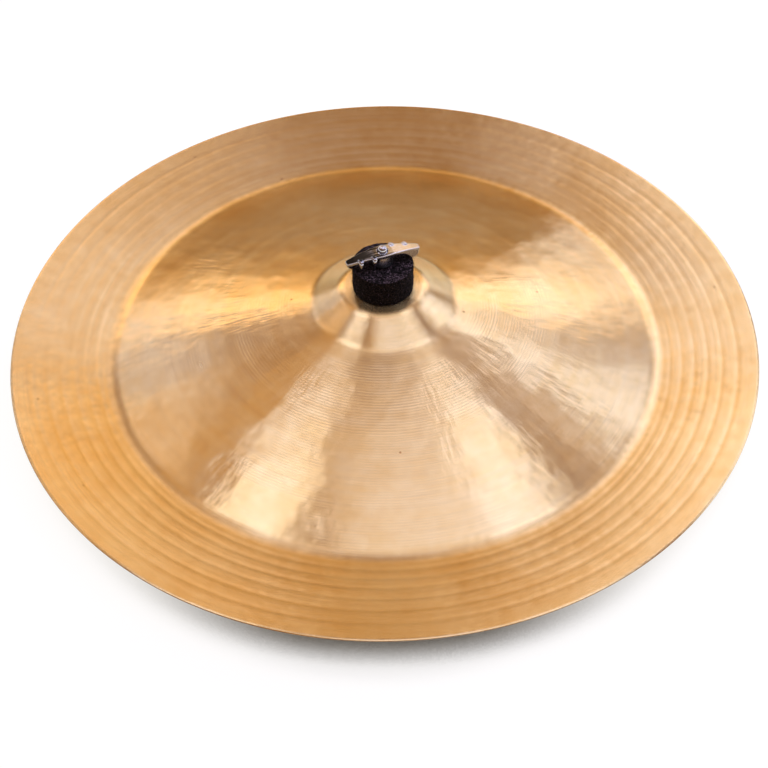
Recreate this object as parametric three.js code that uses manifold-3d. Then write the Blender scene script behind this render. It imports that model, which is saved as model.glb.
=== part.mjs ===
// A 19 inch china cymbal held on the top of a stand's rod by two felts and a wing nut.
// Millimetres, +Z up. The origin is the centre of the coupler's bottom face, on the rod's axis.
// From the origin up: coupler, sleeve flange, cup washer, felt, cymbal, felt, captive washer, wing nut.
import * as THREE from 'three';
import { mergeVertices } from 'three/addons/utils/BufferGeometryUtils.js';
import Module from 'manifold-3d';

const wasm = await Module();
wasm.setup();

// Clearance between pieces that touch or turn, and how far a cut runs past its piece.
const seatGap = 0.3;
const cutOverrun = 1;

// Cymbal, read from the top face. Heights count from the corner between bow and flange.
const rimRadius = 241.3;
const bendRadius = 180;
const bellBaseRadius = 46.6;
const bellShoulderRadius = 36;
const bellFlatRadius = 24;
const holeRadius = 6;
const bowRise = 31.2;
const bellRise = 11.7;
const bowCrown = 1.5;
const flangeAngle = THREE.MathUtils.degToRad(15.15);
const bellWall = 1.6;
const bowWall = 1.1;
const rimWall = 0.9;
const rimRound = 0.3;
const bendFillet = 7;
const bellFootFillet = 4.4;
const bellSideRun = 2.6;
const bellSideDrop = 2.9;

// Broad lathe bands on the flange, parted by shallow grooves that spread towards the rim.
// The first groove and the first spacing are shares of the flange's width.
const grooveCount = 6;
const firstGrooveShare = 0.14;
const grooveSpacingShare = 0.114;
const grooveSpreadShare = 1.07;
const grooveWidth = 2.6;
const grooveDepth = 0.3;

// Stand coupler, a hexagonal nut between the stand's male thread and the rod.
const couplerLength = 34;
const couplerAcrossFlats = 16;
const couplerChamfer = 1.2;
const socketRadius = 3.4;
const socketDepth = 14;
const socketChamfer = 0.8;
const rodBoreDepth = 12;
const rodBoreChamfer = 0.6;

// Rod, M6 with a domed tip.
const rodRadius = 3;
const rodFootChamfer = 0.6;
const rodProud = 3.85;

// Nylon sleeve that keeps the cymbal's hole off the thread.
const sleeveWall = 1.6;
const sleeveFlangeRadius = 7.6;
const sleeveFlangeThickness = 1.5;
const sleeveReach = 10;

// Cup washer under the lower felt.
const cupRadius = 19;
const cupFloor = 1.5;
const cupLip = 1.2;
const cupDepth = 2.4;

// Felts.
const bottomFeltThickness = 12;
const topFeltThickness = 19.7;
const topFeltRadius = 20;
const feltEdge = 0.9;

// Washer crimped on the nut's spigot: it travels with the nut and doesn't turn.
const nutWasherRadius = 6.5;
const nutWasherThickness = 1.4;
const nutWasherSink = 0.7;
const spigotWall = 1.2;
const spigotLip = 0.7;

// Wing nut: an arched plate with a skirt down one side of each wing and two claws on the other.
const wingLength = 48;
const wingWaist = 10.8;
const wingTip = 4.4;
const wingTipRound = 1;
const wingBulge = 0.5;
const wingDroop = 2.8;
const wingYaw = THREE.MathUtils.degToRad(19);
const plateThickness = 1.9;
const plateHeight = 7.5;
const bossTopRadius = 5;
const bossFootRadius = 5.8;
const nutBoreChamfer = 0.5;
const skirtWall = 2.2;
const skirtStart = 9;
const skirtDeepest = 19;
const skirtClearance = 0.35;
const clawPlaces = [7, 15.4];
const clawWidth = 1.9;
const clawTipWidth = 0.8;
const clawReach = 1.3;
const clawBead = 0.6;
const clawRoot = 1.8;
const clawSag = 1.9;
const clawClearance = 0.7;
const gussetWidth = 6;
const gussetWall = 1.5;

// Facets round a turned piece.
const cymbalFacets = 72;
const feltFacets = 40;
const hardwareFacets = 32;
const boreFacets = 24;
const curveSteps = 4;

// Heights of the stack, worked out from the coupler's bottom face upwards.
const sleeveLow = couplerLength + seatGap;
const cupLow = sleeveLow + sleeveFlangeThickness + seatGap;
const cupTop = cupLow + cupFloor;
const bottomFeltLow = cupTop + seatGap;
const bottomFeltHigh = bottomFeltLow + bottomFeltThickness;
const bellUnder = bottomFeltHigh + seatGap;
const bellTop = bellUnder + bellWall;
const bendHeight = bellTop - bellRise - bowRise;
const topFeltLow = bellTop + seatGap;
const topFeltHigh = topFeltLow + topFeltThickness;
const nutWasherLow = topFeltHigh + seatGap;
const nutWasherHigh = nutWasherLow + nutWasherThickness;
const nutLow = nutWasherHigh + seatGap;
const plateTop = nutLow + plateHeight;
const plateEnd = plateTop - wingDroop;
const skirtLow = topFeltHigh + skirtClearance;
const clawLow = topFeltHigh + clawClearance;
const rodTip = plateTop + rodProud;

// Bores and the pieces that pass through them.
const threadClear = rodRadius + seatGap;
const sleeveRadius = threadClear + sleeveWall;
const sleeveClear = sleeveRadius + seatGap;
const spigotRadius = threadClear + spigotWall;
const spigotClear = spigotRadius + seatGap;
const feltRadius = cupRadius - cupLip - seatGap;

const bronze = new THREE.MeshStandardMaterial({ color: 0xd3a468, roughness: 0.28, metalness: 1 });
const chrome = new THREE.MeshStandardMaterial({ color: 0xc9c8ca, roughness: 0.16, metalness: 1 });
const zincPlate = new THREE.MeshStandardMaterial({ color: 0xa9aaad, roughness: 0.36, metalness: 1 });
const blackFelt = new THREE.MeshStandardMaterial({ color: 0x1c1718, roughness: 0.97, metalness: 0 });
const nylon = new THREE.MeshStandardMaterial({ color: 0x24242a, roughness: 0.5, metalness: 0 });

const point = (x, y) => new THREE.Vector2(x, y);

// Revolves an outline of (radius, height) points about Z, anticlockwise points facing out.
function turned(outline, facets) {
  return new THREE.LatheGeometry(outline, facets).rotateX(Math.PI / 2);
}

// The same for an outline that doesn't reach the axis and so closes on itself.
function turnedRing(outline, facets) {
  return turned([...outline, outline[0].clone()], facets);
}

// A shape drawn in X and Y, raised along Z from a height.
function raised(shape, low, height) {
  const options = { depth: height, bevelEnabled: false, curveSegments: curveSteps * 2 };
  return new THREE.ExtrudeGeometry(shape, options).translate(0, 0, low);
}

// A side view drawn in X and Z, run along Y from one side to the other.
function runAcross(shape, from, to) {
  const options = { depth: to - from, bevelEnabled: false, curveSegments: curveSteps * 2 };
  return new THREE.ExtrudeGeometry(shape, options).rotateX(Math.PI / 2).translate(0, to, 0);
}

// An end view drawn in Y and Z, run along X from one place to another.
function runAlong(shape, from, to) {
  const options = { depth: to - from, bevelEnabled: false, curveSegments: curveSteps * 2 };
  return new THREE.ExtrudeGeometry(shape, options)
    .rotateX(Math.PI / 2)
    .rotateZ(Math.PI / 2)
    .translate(from, 0, 0);
}

function solid(geometry) {
  const bare = geometry.clone();
  bare.deleteAttribute('normal');
  bare.deleteAttribute('uv');
  const merged = mergeVertices(bare);
  return new wasm.Manifold(new wasm.Mesh({
    numProp: 3,
    vertProperties: new Float32Array(merged.attributes.position.array),
    triVerts: new Uint32Array(merged.index.array),
  }));
}

function geometryOf(manifold) {
  const mesh = manifold.getMesh();
  const geometry = new THREE.BufferGeometry();
  geometry.setAttribute('position', new THREE.BufferAttribute(mesh.vertProperties, 3));
  geometry.setIndex(new THREE.BufferAttribute(mesh.triVerts, 1));
  geometry.computeVertexNormals();
  return geometry;
}

function node(name, geometry, material) {
  const mesh = new THREE.Mesh(geometry, material);
  mesh.name = name;
  return mesh;
}

// Height of the flange's top face, a plain cone, at a radius.
const flangeHeight = (radius) => bendHeight + (radius - bendRadius) * Math.tan(flangeAngle);

// Top face of the cymbal from its hole to its rim: bell, bow, bend and upturned flange.
function topFace(grooved) {
  const bellBase = bendHeight + bowRise;
  const bowSlope = bowRise / (bendRadius - bellBaseRadius);
  const footEnd = bellBaseRadius + bellFootFillet;
  const bowStart = point(footEnd, bellBase - bellFootFillet * bowSlope);
  const bowEnd = point(bendRadius - bendFillet, bendHeight + bendFillet * bowSlope);
  const bowMiddle = bowStart.clone().add(bowEnd).multiplyScalar(0.5);
  const line = new THREE.Path();
  line.moveTo(holeRadius, bellTop);
  line.lineTo(bellFlatRadius, bellTop);
  line.quadraticCurveTo(bellShoulderRadius, bellTop, bellBaseRadius - bellSideRun, bellBase + bellSideDrop);
  line.quadraticCurveTo(bellBaseRadius, bellBase, bowStart.x, bowStart.y);
  line.quadraticCurveTo(bowMiddle.x, bowMiddle.y + bowCrown * 2, bowEnd.x, bowEnd.y);
  const flangeStart = bendRadius + bendFillet;
  line.quadraticCurveTo(bendRadius, bendHeight, flangeStart, flangeHeight(flangeStart));
  if (grooved) {
    cutGrooves(line);
  }
  const edge = rimRadius - rimRound;
  line.lineTo(edge, flangeHeight(edge));
  return line.getPoints(curveSteps);
}

// Each groove is a shallow V across the line of the flange.
function cutGrooves(line) {
  const half = grooveWidth / 2;
  const flangeWidth = rimRadius - bendRadius;
  let radius = bendRadius + flangeWidth * firstGrooveShare;
  let spacing = flangeWidth * grooveSpacingShare;
  for (let count = 0; count < grooveCount; count += 1) {
    line.lineTo(radius - half, flangeHeight(radius - half));
    line.lineTo(radius, flangeHeight(radius) - grooveDepth);
    line.lineTo(radius + half, flangeHeight(radius + half));
    radius += spacing;
    spacing *= grooveSpreadShare;
  }
}

// The cymbal's wall thins from bell to bend and again from bend to rim.
function wallAt(radius) {
  if (radius < bendRadius) {
    return THREE.MathUtils.mapLinear(radius, holeRadius, bendRadius, bellWall, bowWall);
  }
  return THREE.MathUtils.mapLinear(radius, bendRadius, rimRadius, bowWall, rimWall);
}

// The underside lies one wall below the top face, square to it except at the hole and the rim.
function underFace(top) {
  const last = top.length - 1;
  return top.map((place, index) => {
    if (index === 0 || index === last) {
      return point(place.x, place.y - wallAt(place.x));
    }
    const along = top[index + 1].clone().sub(top[index - 1]).normalize();
    return point(place.x + along.y * wallAt(place.x), place.y - along.x * wallAt(place.x));
  });
}

function cymbal() {
  const above = topFace(true);
  const below = underFace(topFace(false));
  const edge = above[above.length - 1].clone().add(below[below.length - 1]).multiplyScalar(0.5);
  edge.x = rimRadius;
  return turnedRing([...below, edge, ...above.reverse()], cymbalFacets);
}

// A round pad with a hole and softened outer edges.
function pad(radius, low, thickness) {
  const high = low + thickness;
  return turnedRing([
    point(sleeveClear, low),
    point(radius - feltEdge, low),
    point(radius, low + feltEdge),
    point(radius, high - feltEdge),
    point(radius - feltEdge, high),
    point(sleeveClear, high),
  ], feltFacets);
}

// A plug for cutting a bore, widened by a chamfer at its open end.
function borePlug(radius, closedEnd, openEnd, chamfer) {
  const way = Math.sign(openEnd - closedEnd);
  const outline = [
    point(0, closedEnd),
    point(radius, closedEnd),
    point(radius, openEnd - way * chamfer),
    point(radius + chamfer + cutOverrun, openEnd + way * cutOverrun),
    point(0, openEnd + way * cutOverrun),
  ];
  return solid(turned(way > 0 ? outline : outline.reverse(), boreFacets));
}

function coupler() {
  const hexRadius = couplerAcrossFlats / Math.sqrt(3);
  const hexagon = new THREE.CylinderGeometry(hexRadius, hexRadius, couplerLength, 6)
    .rotateX(Math.PI / 2)
    .translate(0, 0, couplerLength / 2);
  const chamfered = turned([
    point(0, 0),
    point(hexRadius - couplerChamfer, 0),
    point(hexRadius, couplerChamfer),
    point(hexRadius, couplerLength - couplerChamfer),
    point(hexRadius - couplerChamfer, couplerLength),
    point(0, couplerLength),
  ], hardwareFacets);
  const rodBore = borePlug(threadClear, couplerLength - rodBoreDepth, couplerLength, rodBoreChamfer);
  const socket = borePlug(socketRadius, socketDepth, 0, socketChamfer);
  return geometryOf(solid(hexagon).intersect(solid(chamfered)).subtract(rodBore).subtract(socket));
}

function rod() {
  const low = couplerLength - rodBoreDepth + seatGap;
  const domeStart = rodTip - rodRadius;
  const dome = new THREE.Path().absarc(0, domeStart, rodRadius, 0, Math.PI / 2, false);
  return turned([
    point(0, low),
    point(rodRadius - rodFootChamfer, low),
    point(rodRadius, low + rodFootChamfer),
    ...dome.getPoints(curveSteps).slice(0, -1),
    point(0, rodTip),
  ], boreFacets);
}

function sleeve() {
  const flangeTop = sleeveLow + sleeveFlangeThickness;
  const high = bellTop + sleeveReach;
  return turnedRing([
    point(threadClear, sleeveLow),
    point(sleeveFlangeRadius, sleeveLow),
    point(sleeveFlangeRadius, flangeTop),
    point(sleeveRadius, flangeTop),
    point(sleeveRadius, high),
    point(threadClear, high),
  ], hardwareFacets);
}

function cupWasher() {
  const lipTop = cupTop + cupDepth;
  return turnedRing([
    point(sleeveClear, cupLow),
    point(cupRadius - cupLip, cupLow),
    point(cupRadius, cupLow + cupLip),
    point(cupRadius, lipTop),
    point(cupRadius - cupLip, lipTop),
    point(cupRadius - cupLip, cupTop),
    point(sleeveClear, cupTop),
  ], feltFacets);
}

// The bore is sunk from below to take the flared lip of the nut's spigot.
function nutWasher() {
  return turnedRing([
    point(spigotClear + spigotLip, nutWasherLow),
    point(nutWasherRadius, nutWasherLow),
    point(nutWasherRadius, nutWasherHigh),
    point(spigotClear, nutWasherHigh),
    point(spigotClear, nutWasherHigh - nutWasherSink),
  ], hardwareFacets);
}

// Half the wing's width at a place along it: a convex line from the waist to the tip.
const wingPull = (wingWaist + wingTip) / 4 + wingBulge;

function halfWidth(along) {
  const share = along / (wingLength / 2);
  const rest = 1 - share;
  return rest ** 2 * wingWaist / 2 + 2 * share * rest * wingPull + share ** 2 * wingTip / 2;
}

// Height of the arched plate's top at a place along the wing.
function archHeight(along) {
  return plateTop - wingDroop * (along / (wingLength / 2)) ** 2;
}

// The wings seen from above.
function wingPlan() {
  const end = wingLength / 2;
  const waist = wingWaist / 2;
  const tip = wingTip / 2;
  const plan = new THREE.Shape();
  plan.moveTo(0, -waist);
  plan.quadraticCurveTo(end / 2, -wingPull, end - wingTipRound, -tip);
  plan.quadraticCurveTo(end, -tip, end, -tip + wingTipRound);
  plan.lineTo(end, tip - wingTipRound);
  plan.quadraticCurveTo(end, tip, end - wingTipRound, tip);
  plan.quadraticCurveTo(end / 2, wingPull, 0, waist);
  plan.quadraticCurveTo(-end / 2, wingPull, -end + wingTipRound, tip);
  plan.quadraticCurveTo(-end, tip, -end, tip - wingTipRound);
  plan.lineTo(-end, -tip + wingTipRound);
  plan.quadraticCurveTo(-end, -tip, -end + wingTipRound, -tip);
  plan.quadraticCurveTo(-end / 2, -wingPull, 0, -waist);
  return plan;
}

// The plate seen from the side: two like arches one thickness apart.
function plateSide() {
  const end = wingLength / 2 + cutOverrun;
  const foot = archHeight(end);
  const pull = 2 * plateTop - foot;
  const side = new THREE.Shape();
  side.moveTo(-end, foot - plateThickness);
  side.quadraticCurveTo(0, pull - plateThickness, end, foot - plateThickness);
  side.lineTo(end, foot);
  side.quadraticCurveTo(0, pull, -end, foot);
  return side;
}

// The skirt under the right wing seen from the side. It hangs from inside the plate.
function skirtSide() {
  const end = wingLength / 2;
  const hang = plateThickness / 2;
  const start = archHeight(skirtStart);
  const middle = (skirtStart + skirtDeepest) / 2;
  const side = new THREE.Shape();
  side.moveTo(skirtStart, start - hang);
  side.lineTo(skirtStart, start - plateThickness);
  side.quadraticCurveTo(middle, start - plateThickness, skirtDeepest, skirtLow);
  side.quadraticCurveTo(end - wingTipRound, skirtLow, end, plateEnd - plateThickness);
  side.lineTo(end, plateEnd - hang);
  return side;
}

// The skirt follows the wing's front edge, one wall deep.
function skirtPlan() {
  const end = wingLength / 2;
  const steps = curveSteps * 2;
  const places = Array.from({ length: steps + 1 }, (_, step) => {
    return THREE.MathUtils.lerp(skirtStart, end - wingTipRound, step / steps);
  });
  const outside = places.map((along) => point(along, -halfWidth(along)));
  const inside = places.map((along) => point(along, skirtWall - halfWidth(along)));
  const corner = point(end, wingTipRound - wingTip / 2);
  const innerCorner = point(end, skirtWall - wingTip / 2);
  return new THREE.Shape([...outside, corner, innerCorner, ...inside.reverse()]);
}

// A claw seen from the wing's end: a bead over the plate's edge that hooks down to a tip.
function clawEnd(along) {
  const edge = halfWidth(along);
  const top = archHeight(along);
  const out = edge + clawReach;
  const outline = new THREE.Shape();
  outline.moveTo(edge - clawRoot, top - plateThickness / 2);
  outline.lineTo(edge - clawRoot, top);
  outline.quadraticCurveTo(edge - clawRoot / 2, top + clawBead, edge, top + clawBead);
  outline.quadraticCurveTo(out, top + clawBead, out, top - clawSag);
  outline.quadraticCurveTo(out, clawLow + clawSag, edge + clawReach / 2, clawLow);
  outline.quadraticCurveTo(edge, top - plateThickness, edge - clawRoot, top - plateThickness / 2);
  return outline;
}

// The same claw seen from the wing's side: straight at the plate, then narrowing to the tip.
function clawSide(along) {
  const top = archHeight(along) + clawBead + cutOverrun;
  const under = archHeight(along) - plateThickness;
  return new THREE.Shape([
    point(along - clawTipWidth / 2, clawLow),
    point(along + clawTipWidth / 2, clawLow),
    point(along + clawWidth / 2, under),
    point(along + clawWidth / 2, top),
    point(along - clawWidth / 2, top),
    point(along - clawWidth / 2, under),
  ]);
}

// The gusset behind a claw: it flares into the plate's underside on both sides.
function gussetSide(along) {
  const half = gussetWidth / 2;
  const hang = archHeight(along + half) - plateThickness / 2;
  const under = archHeight(along) - plateThickness;
  const low = (under + clawLow) / 2;
  const outline = new THREE.Shape();
  outline.moveTo(along - half, hang);
  outline.lineTo(along - half, under);
  outline.quadraticCurveTo(along - clawTipWidth / 2, under, along - clawTipWidth / 2, low);
  outline.lineTo(along + clawTipWidth / 2, low);
  outline.quadraticCurveTo(along + clawTipWidth / 2, under, along + half, under);
  outline.lineTo(along + half, hang);
  return outline;
}

function claw(along) {
  const edge = halfWidth(along + gussetWidth / 2);
  const hook = solid(runAlong(clawEnd(along), along - clawWidth, along + clawWidth));
  const taper = solid(runAcross(clawSide(along), 0, wingWaist));
  const gusset = solid(runAcross(gussetSide(along), edge - gussetWall, edge));
  return hook.intersect(taper).add(gusset);
}

// The boss under the plate, with the spigot that carries the captive washer.
function boss() {
  const lipRadius = spigotClear + spigotLip - seatGap;
  const lipTop = nutWasherHigh - nutWasherSink - seatGap;
  return solid(turned([
    point(0, nutWasherLow),
    point(lipRadius, nutWasherLow),
    point(spigotRadius, lipTop),
    point(spigotRadius, nutLow),
    point(bossFootRadius, nutLow),
    point(bossTopRadius, plateTop - plateThickness),
    point(0, plateTop - plateThickness / 2),
  ], hardwareFacets));
}

function wingNut() {
  const plate = solid(raised(wingPlan(), skirtLow, plateTop + cutOverrun - skirtLow))
    .intersect(solid(runAcross(plateSide(), -wingWaist, wingWaist)));
  const skirt = solid(raised(skirtPlan(), skirtLow - cutOverrun, plateTop + cutOverrun - skirtLow))
    .intersect(solid(runAcross(skirtSide(), -wingWaist, wingWaist)));
  const wing = clawPlaces.map(claw).reduce((sum, piece) => sum.add(piece), skirt);
  const bore = borePlug(threadClear, nutWasherLow - cutOverrun, plateTop, nutBoreChamfer);
  const body = plate.add(boss()).add(wing).add(wing.rotate([0, 0, 180])).subtract(bore);
  return geometryOf(body).rotateZ(wingYaw);
}

const part = new THREE.Group();
part.add(
  node('stand_coupler', coupler(), zincPlate),
  node('threaded_rod', rod(), chrome),
  node('rod_sleeve', sleeve(), nylon),
  node('cup_washer', cupWasher(), zincPlate),
  node('bottom_felt', pad(feltRadius, bottomFeltLow, bottomFeltThickness), blackFelt),
  node('cymbal', cymbal(), bronze),
  node('top_felt', pad(topFeltRadius, topFeltLow, topFeltThickness), blackFelt),
  node('nut_washer', nutWasher(), zincPlate),
  node('wing_nut', wingNut(), chrome),
);

export default part;
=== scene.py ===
# %% [markdown]
# # A china cymbal on its rod
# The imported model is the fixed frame: it says where each piece sits and what moves. This lesson
# dresses it piece by piece, from the bronze outwards, and lights it as a studio would.

# %% Load the frame
import math
import random
from contextlib import contextmanager

import bpy
from mathutils import Euler, Matrix, Quaternion, Vector


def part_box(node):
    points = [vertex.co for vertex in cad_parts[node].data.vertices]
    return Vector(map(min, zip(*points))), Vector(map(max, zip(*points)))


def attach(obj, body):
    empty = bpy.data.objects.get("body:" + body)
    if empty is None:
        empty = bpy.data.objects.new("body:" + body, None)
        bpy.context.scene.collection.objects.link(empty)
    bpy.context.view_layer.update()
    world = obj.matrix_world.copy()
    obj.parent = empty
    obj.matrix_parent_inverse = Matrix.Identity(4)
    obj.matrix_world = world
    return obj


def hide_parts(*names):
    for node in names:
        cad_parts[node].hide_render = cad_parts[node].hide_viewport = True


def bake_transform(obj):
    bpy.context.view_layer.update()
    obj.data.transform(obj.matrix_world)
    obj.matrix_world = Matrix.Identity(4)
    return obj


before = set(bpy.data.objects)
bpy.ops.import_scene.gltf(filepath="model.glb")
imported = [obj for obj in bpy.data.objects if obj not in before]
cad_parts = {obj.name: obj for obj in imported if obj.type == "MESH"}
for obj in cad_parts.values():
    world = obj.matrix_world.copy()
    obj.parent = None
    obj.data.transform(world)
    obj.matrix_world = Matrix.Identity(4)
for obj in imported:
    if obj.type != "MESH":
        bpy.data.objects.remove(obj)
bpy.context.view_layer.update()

# %% [markdown]
# ## Helpers for modelling
# An operator works on whatever is selected, so each step begins with nothing selected but its own
# piece. Going in and out of edit mode is wrapped up, so that no step leaves the piece half edited.

# %% Select, edit, finish
MM = 0.001
FULL_TURN = 2 * math.pi
MERGE_GAP = 0.002 * MM


def alone(piece=None):
    """Deselects everything, then makes one piece the selected and active one."""
    bpy.ops.object.select_all(action="DESELECT")
    if piece is not None:
        piece.select_set(True)
        bpy.context.view_layer.objects.active = piece
    return piece


@contextmanager
def editing(piece):
    """Edit mode on one piece, with all of it selected at the start."""
    alone(piece)
    bpy.ops.object.mode_set(mode="EDIT")
    bpy.ops.mesh.select_mode(type="VERT")
    bpy.ops.mesh.select_all(action="SELECT")
    yield piece
    bpy.ops.object.mode_set(mode="OBJECT")


def named(name):
    """Gives the newest primitive its name and puts its place into its mesh."""
    piece = bpy.context.object
    piece.name = name
    piece.data.name = name
    alone(piece)
    bpy.ops.object.transform_apply(location=True, rotation=True, scale=True)
    return piece


def modify(piece, kind, **settings):
    """Adds a modifier, sets it and applies it."""
    alone(piece)
    modifier = piece.modifiers.new(kind.title(), kind)
    for setting, value in settings.items():
        setattr(modifier, setting, value)
    bpy.ops.object.modifier_apply(modifier=modifier.name)
    return piece


def join(piece, *others):
    """Joins other pieces into the first."""
    alone(piece)
    for other in others:
        other.select_set(True)
    bpy.ops.object.join()
    return piece


def smooth(piece, degrees=40):
    """Smooth shading, with edges sharper than the angle left crisp."""
    alone(piece)
    bpy.ops.object.shade_smooth_by_angle(angle=math.radians(degrees))
    return piece


def triangles(piece):
    return sum(len(face.vertices) - 2 for face in piece.data.polygons)


def box_in_mm(piece):
    """A piece's lowest and highest corners in millimetres."""
    return [[round(value / MM, 2) for value in corner] for corner in (piece.bound_box[0], piece.bound_box[6])]


# %% [markdown]
# ## Turning on the lathe
# Nearly every piece here is turned. As on a lathe, only the outline is drawn: a single vertex is
# extruded along it, and the line is then spun about the rod's axis. A curve helper keeps the
# outline short, because each round stretch needs just its two ends and a point that pulls it.


# %% Outlines and spinning
def curved(start, pull, end, steps):
    """Points along a curve from start to end that leans towards pull, without its first point."""
    points = []
    for step in range(1, steps + 1):
        share = step / steps
        rest = 1 - share
        points.append(tuple(
            rest * rest * a + 2 * share * rest * b + share * share * c
            for a, b, c in zip(start, pull, end)
        ))
    return points


def rounded(corners, radius, steps=4):
    """Rounds the corners of a closed outline of (radius, height) points."""
    outline = []
    for index, corner in enumerate(corners):
        here = Vector(corner)
        before = Vector(corners[index - 1]) - here
        after = Vector(corners[(index + 1) % len(corners)]) - here
        if here.x == 0:
            outline.append(tuple(here))
            continue
        reach = min(radius, before.length * 0.45, after.length * 0.45)
        start = here + before.normalized() * reach
        end = here + after.normalized() * reach
        outline.append(tuple(start))
        outline += curved(start, here, end, steps)
    return outline


def turn(name, outline, steps, closed=True):
    """Spins an outline of (radius, height) points about Z into a solid."""
    first = Vector((outline[0][0], 0, outline[0][1]))
    bpy.ops.mesh.primitive_plane_add(size=MM, location=first)
    piece = named(name)
    path = [Vector((radius, 0, height)) for radius, height in outline]
    if closed:
        path.append(path[0])
    with editing(piece):
        bpy.ops.mesh.merge(type="CENTER")
        for here, there in zip(path, path[1:]):
            bpy.ops.mesh.extrude_region_move(TRANSFORM_OT_translate={"value": there - here})
        bpy.ops.mesh.select_all(action="SELECT")
        bpy.ops.mesh.spin(steps=steps, angle=FULL_TURN, center=(0, 0, 0), axis=(0, 0, 1))
        bpy.ops.mesh.select_all(action="SELECT")
        bpy.ops.mesh.remove_doubles(threshold=MERGE_GAP)
        bpy.ops.mesh.normals_make_consistent(inside=False)
    print(name, "turned:", triangles(piece), "triangles")
    return piece


# %% [markdown]
# ## Shader maths as plain sums
# A material is a picture of numbers: how far from the axis, how rough, how dark. Written as a web of
# Math nodes it is hard to read, so a small class wraps a socket and lets Python's own signs add
# the nodes.


# %% A socket that can be added, and a paint pot
class Amount:
    """A number that changes over the surface."""

    def __init__(self, paint, socket):
        self.paint = paint
        self.socket = socket

    def math(self, operation, *others):
        return self.paint.add("Math", {"operation": operation}, {
            index: value for index, value in enumerate([self, *others])
        })

    def reversed(self, operation, other):
        return self.paint.add("Math", {"operation": operation}, {0: other, 1: self})

    def __add__(self, other):
        return self.math("ADD", other)

    def __sub__(self, other):
        return self.math("SUBTRACT", other)

    def __mul__(self, other):
        return self.math("MULTIPLY", other)

    def __truediv__(self, other):
        return self.math("DIVIDE", other)

    def __pow__(self, other):
        return self.math("POWER", other)

    def __rsub__(self, other):
        return self.reversed("SUBTRACT", other)

    def __rtruediv__(self, other):
        return self.reversed("DIVIDE", other)

    __radd__ = __add__
    __rmul__ = __mul__

    def ramp(self, low, high):
        """Runs from 0 at low to 1 at high, softly, and stays there."""
        return self.paint.add("MapRange", {"interpolation_type": "SMOOTHSTEP"}, {
            "Value": self, "From Min": low, "From Max": high,
        })


class Paint:
    """A material, or the room's light, and the one way of adding nodes to it."""

    def __init__(self, name, owner=None, shader="Principled BSDF", place="Object"):
        self.material = owner or bpy.data.materials.new(name)
        self.material.use_nodes = True
        self.tree = self.material.node_tree
        self.shader = self.tree.nodes[shader]
        self.place = self.add("TexCoord", out=place)

    def add(self, kind, settings=None, inputs=None, out=0):
        node = self.tree.nodes.new("ShaderNode" + kind)
        for setting, value in (settings or {}).items():
            setattr(node, setting, value)
        for name, value in (inputs or {}).items():
            self.put(node.inputs[name], value)
        return Amount(self, node.outputs[out])

    def put(self, socket, value):
        if isinstance(value, Amount):
            self.tree.links.new(value.socket, socket)
        else:
            socket.default_value = value

    def set(self, **values):
        """Sets the shader's own sockets: base_color stands for Base Color, and so on."""
        for name, value in values.items():
            self.put(self.shader.inputs[name.replace("_", " ").title().replace("Ior", "IOR")], value)
        return self

    def axes(self):
        """The three coordinates of the place, in metres."""
        return [self.add("SeparateXYZ", inputs={0: self.place}, out=axis) for axis in range(3)]

    def noise(self, size, detail=2, roughness=0.5, vector=None):
        """Soft noise from 0 to 1 whose lumps are about size across."""
        return self.add("TexNoise", inputs={
            "Vector": vector or self.place, "Scale": 1 / size, "Detail": detail, "Roughness": roughness,
        })

    def cells(self, size, feature="F1"):
        """Distance to the nearest of many scattered points, about size apart."""
        scaled = {"Vector": self.place, "Scale": 1 / size}
        return self.add("TexVoronoi", {"feature": feature}, scaled, out="Distance")

    def upward(self):
        """How far the piece's own surface faces up: 1 for level, 0 for upright."""
        return self.add("SeparateXYZ", inputs={0: self.add("TexCoord", out="Normal")}, out=2)

    def open_air(self, reach):
        """1 where nothing stands within reach, and less in corners."""
        return self.add("AmbientOcclusion", {"samples": 8}, {"Distance": reach}, out="AO")

    def vector(self, x, y, z):
        return self.add("CombineXYZ", inputs={0: x, 1: y, 2: z})

    def mix(self, amount, dark, light):
        """A colour between two others."""
        return self.add("Mix", {"data_type": "RGBA"}, {"Factor": amount, "A": dark, "B": light}, out="Result")

    def bump(self, height, distance, strength=1, under=None):
        """A relief of that height in metres, laid over another relief."""
        inputs = {"Height": height, "Distance": distance, "Strength": strength}
        if under is not None:
            inputs["Normal"] = under
        return self.add("Bump", inputs=inputs)


def colour(red, green, blue):
    return (red, green, blue, 1)


def dress(piece, paint):
    """Gives a piece one material."""
    piece.data.materials.clear()
    piece.data.materials.append(paint.material)
    return piece


# %% [markdown]
# ## The camera
# The photograph looks down on the cymbal at 45 degrees from about three quarters of a metre, with a
# hair of roll. The camera came first, by matching the rim, the bend and the bell to their ellipses.

# %% Place the camera
CAMERA_DISTANCE = 762.19 * MM
CAMERA_ELEVATION = math.radians(44.948)
CAMERA_AIM = Vector((-0.62 * MM, 0, 9.8 * MM))
CAMERA_DIP = math.radians(-2.617)
CAMERA_ROLL = math.radians(-1.052)
LENS_MM = 53.304

line_of_sight = Vector((0, -math.cos(CAMERA_ELEVATION), math.sin(CAMERA_ELEVATION)))
tilt = Euler((math.pi / 2 - CAMERA_ELEVATION + CAMERA_DIP, 0, 0)).to_matrix()
roll = Euler((0, 0, CAMERA_ROLL)).to_matrix()
alone()
bpy.ops.object.camera_add(
    location=CAMERA_AIM + line_of_sight * CAMERA_DISTANCE,
    rotation=(tilt @ roll).to_euler(),
)
camera = bpy.context.object
camera.data.lens = LENS_MM
bpy.context.scene.camera = camera
print("Camera at", [round(value, 4) for value in camera.location])

# %% [markdown]
# ## Sizes taken from the frame
# The frame's boxes give what each piece sits on, so nothing here is placed by eye.

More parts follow.
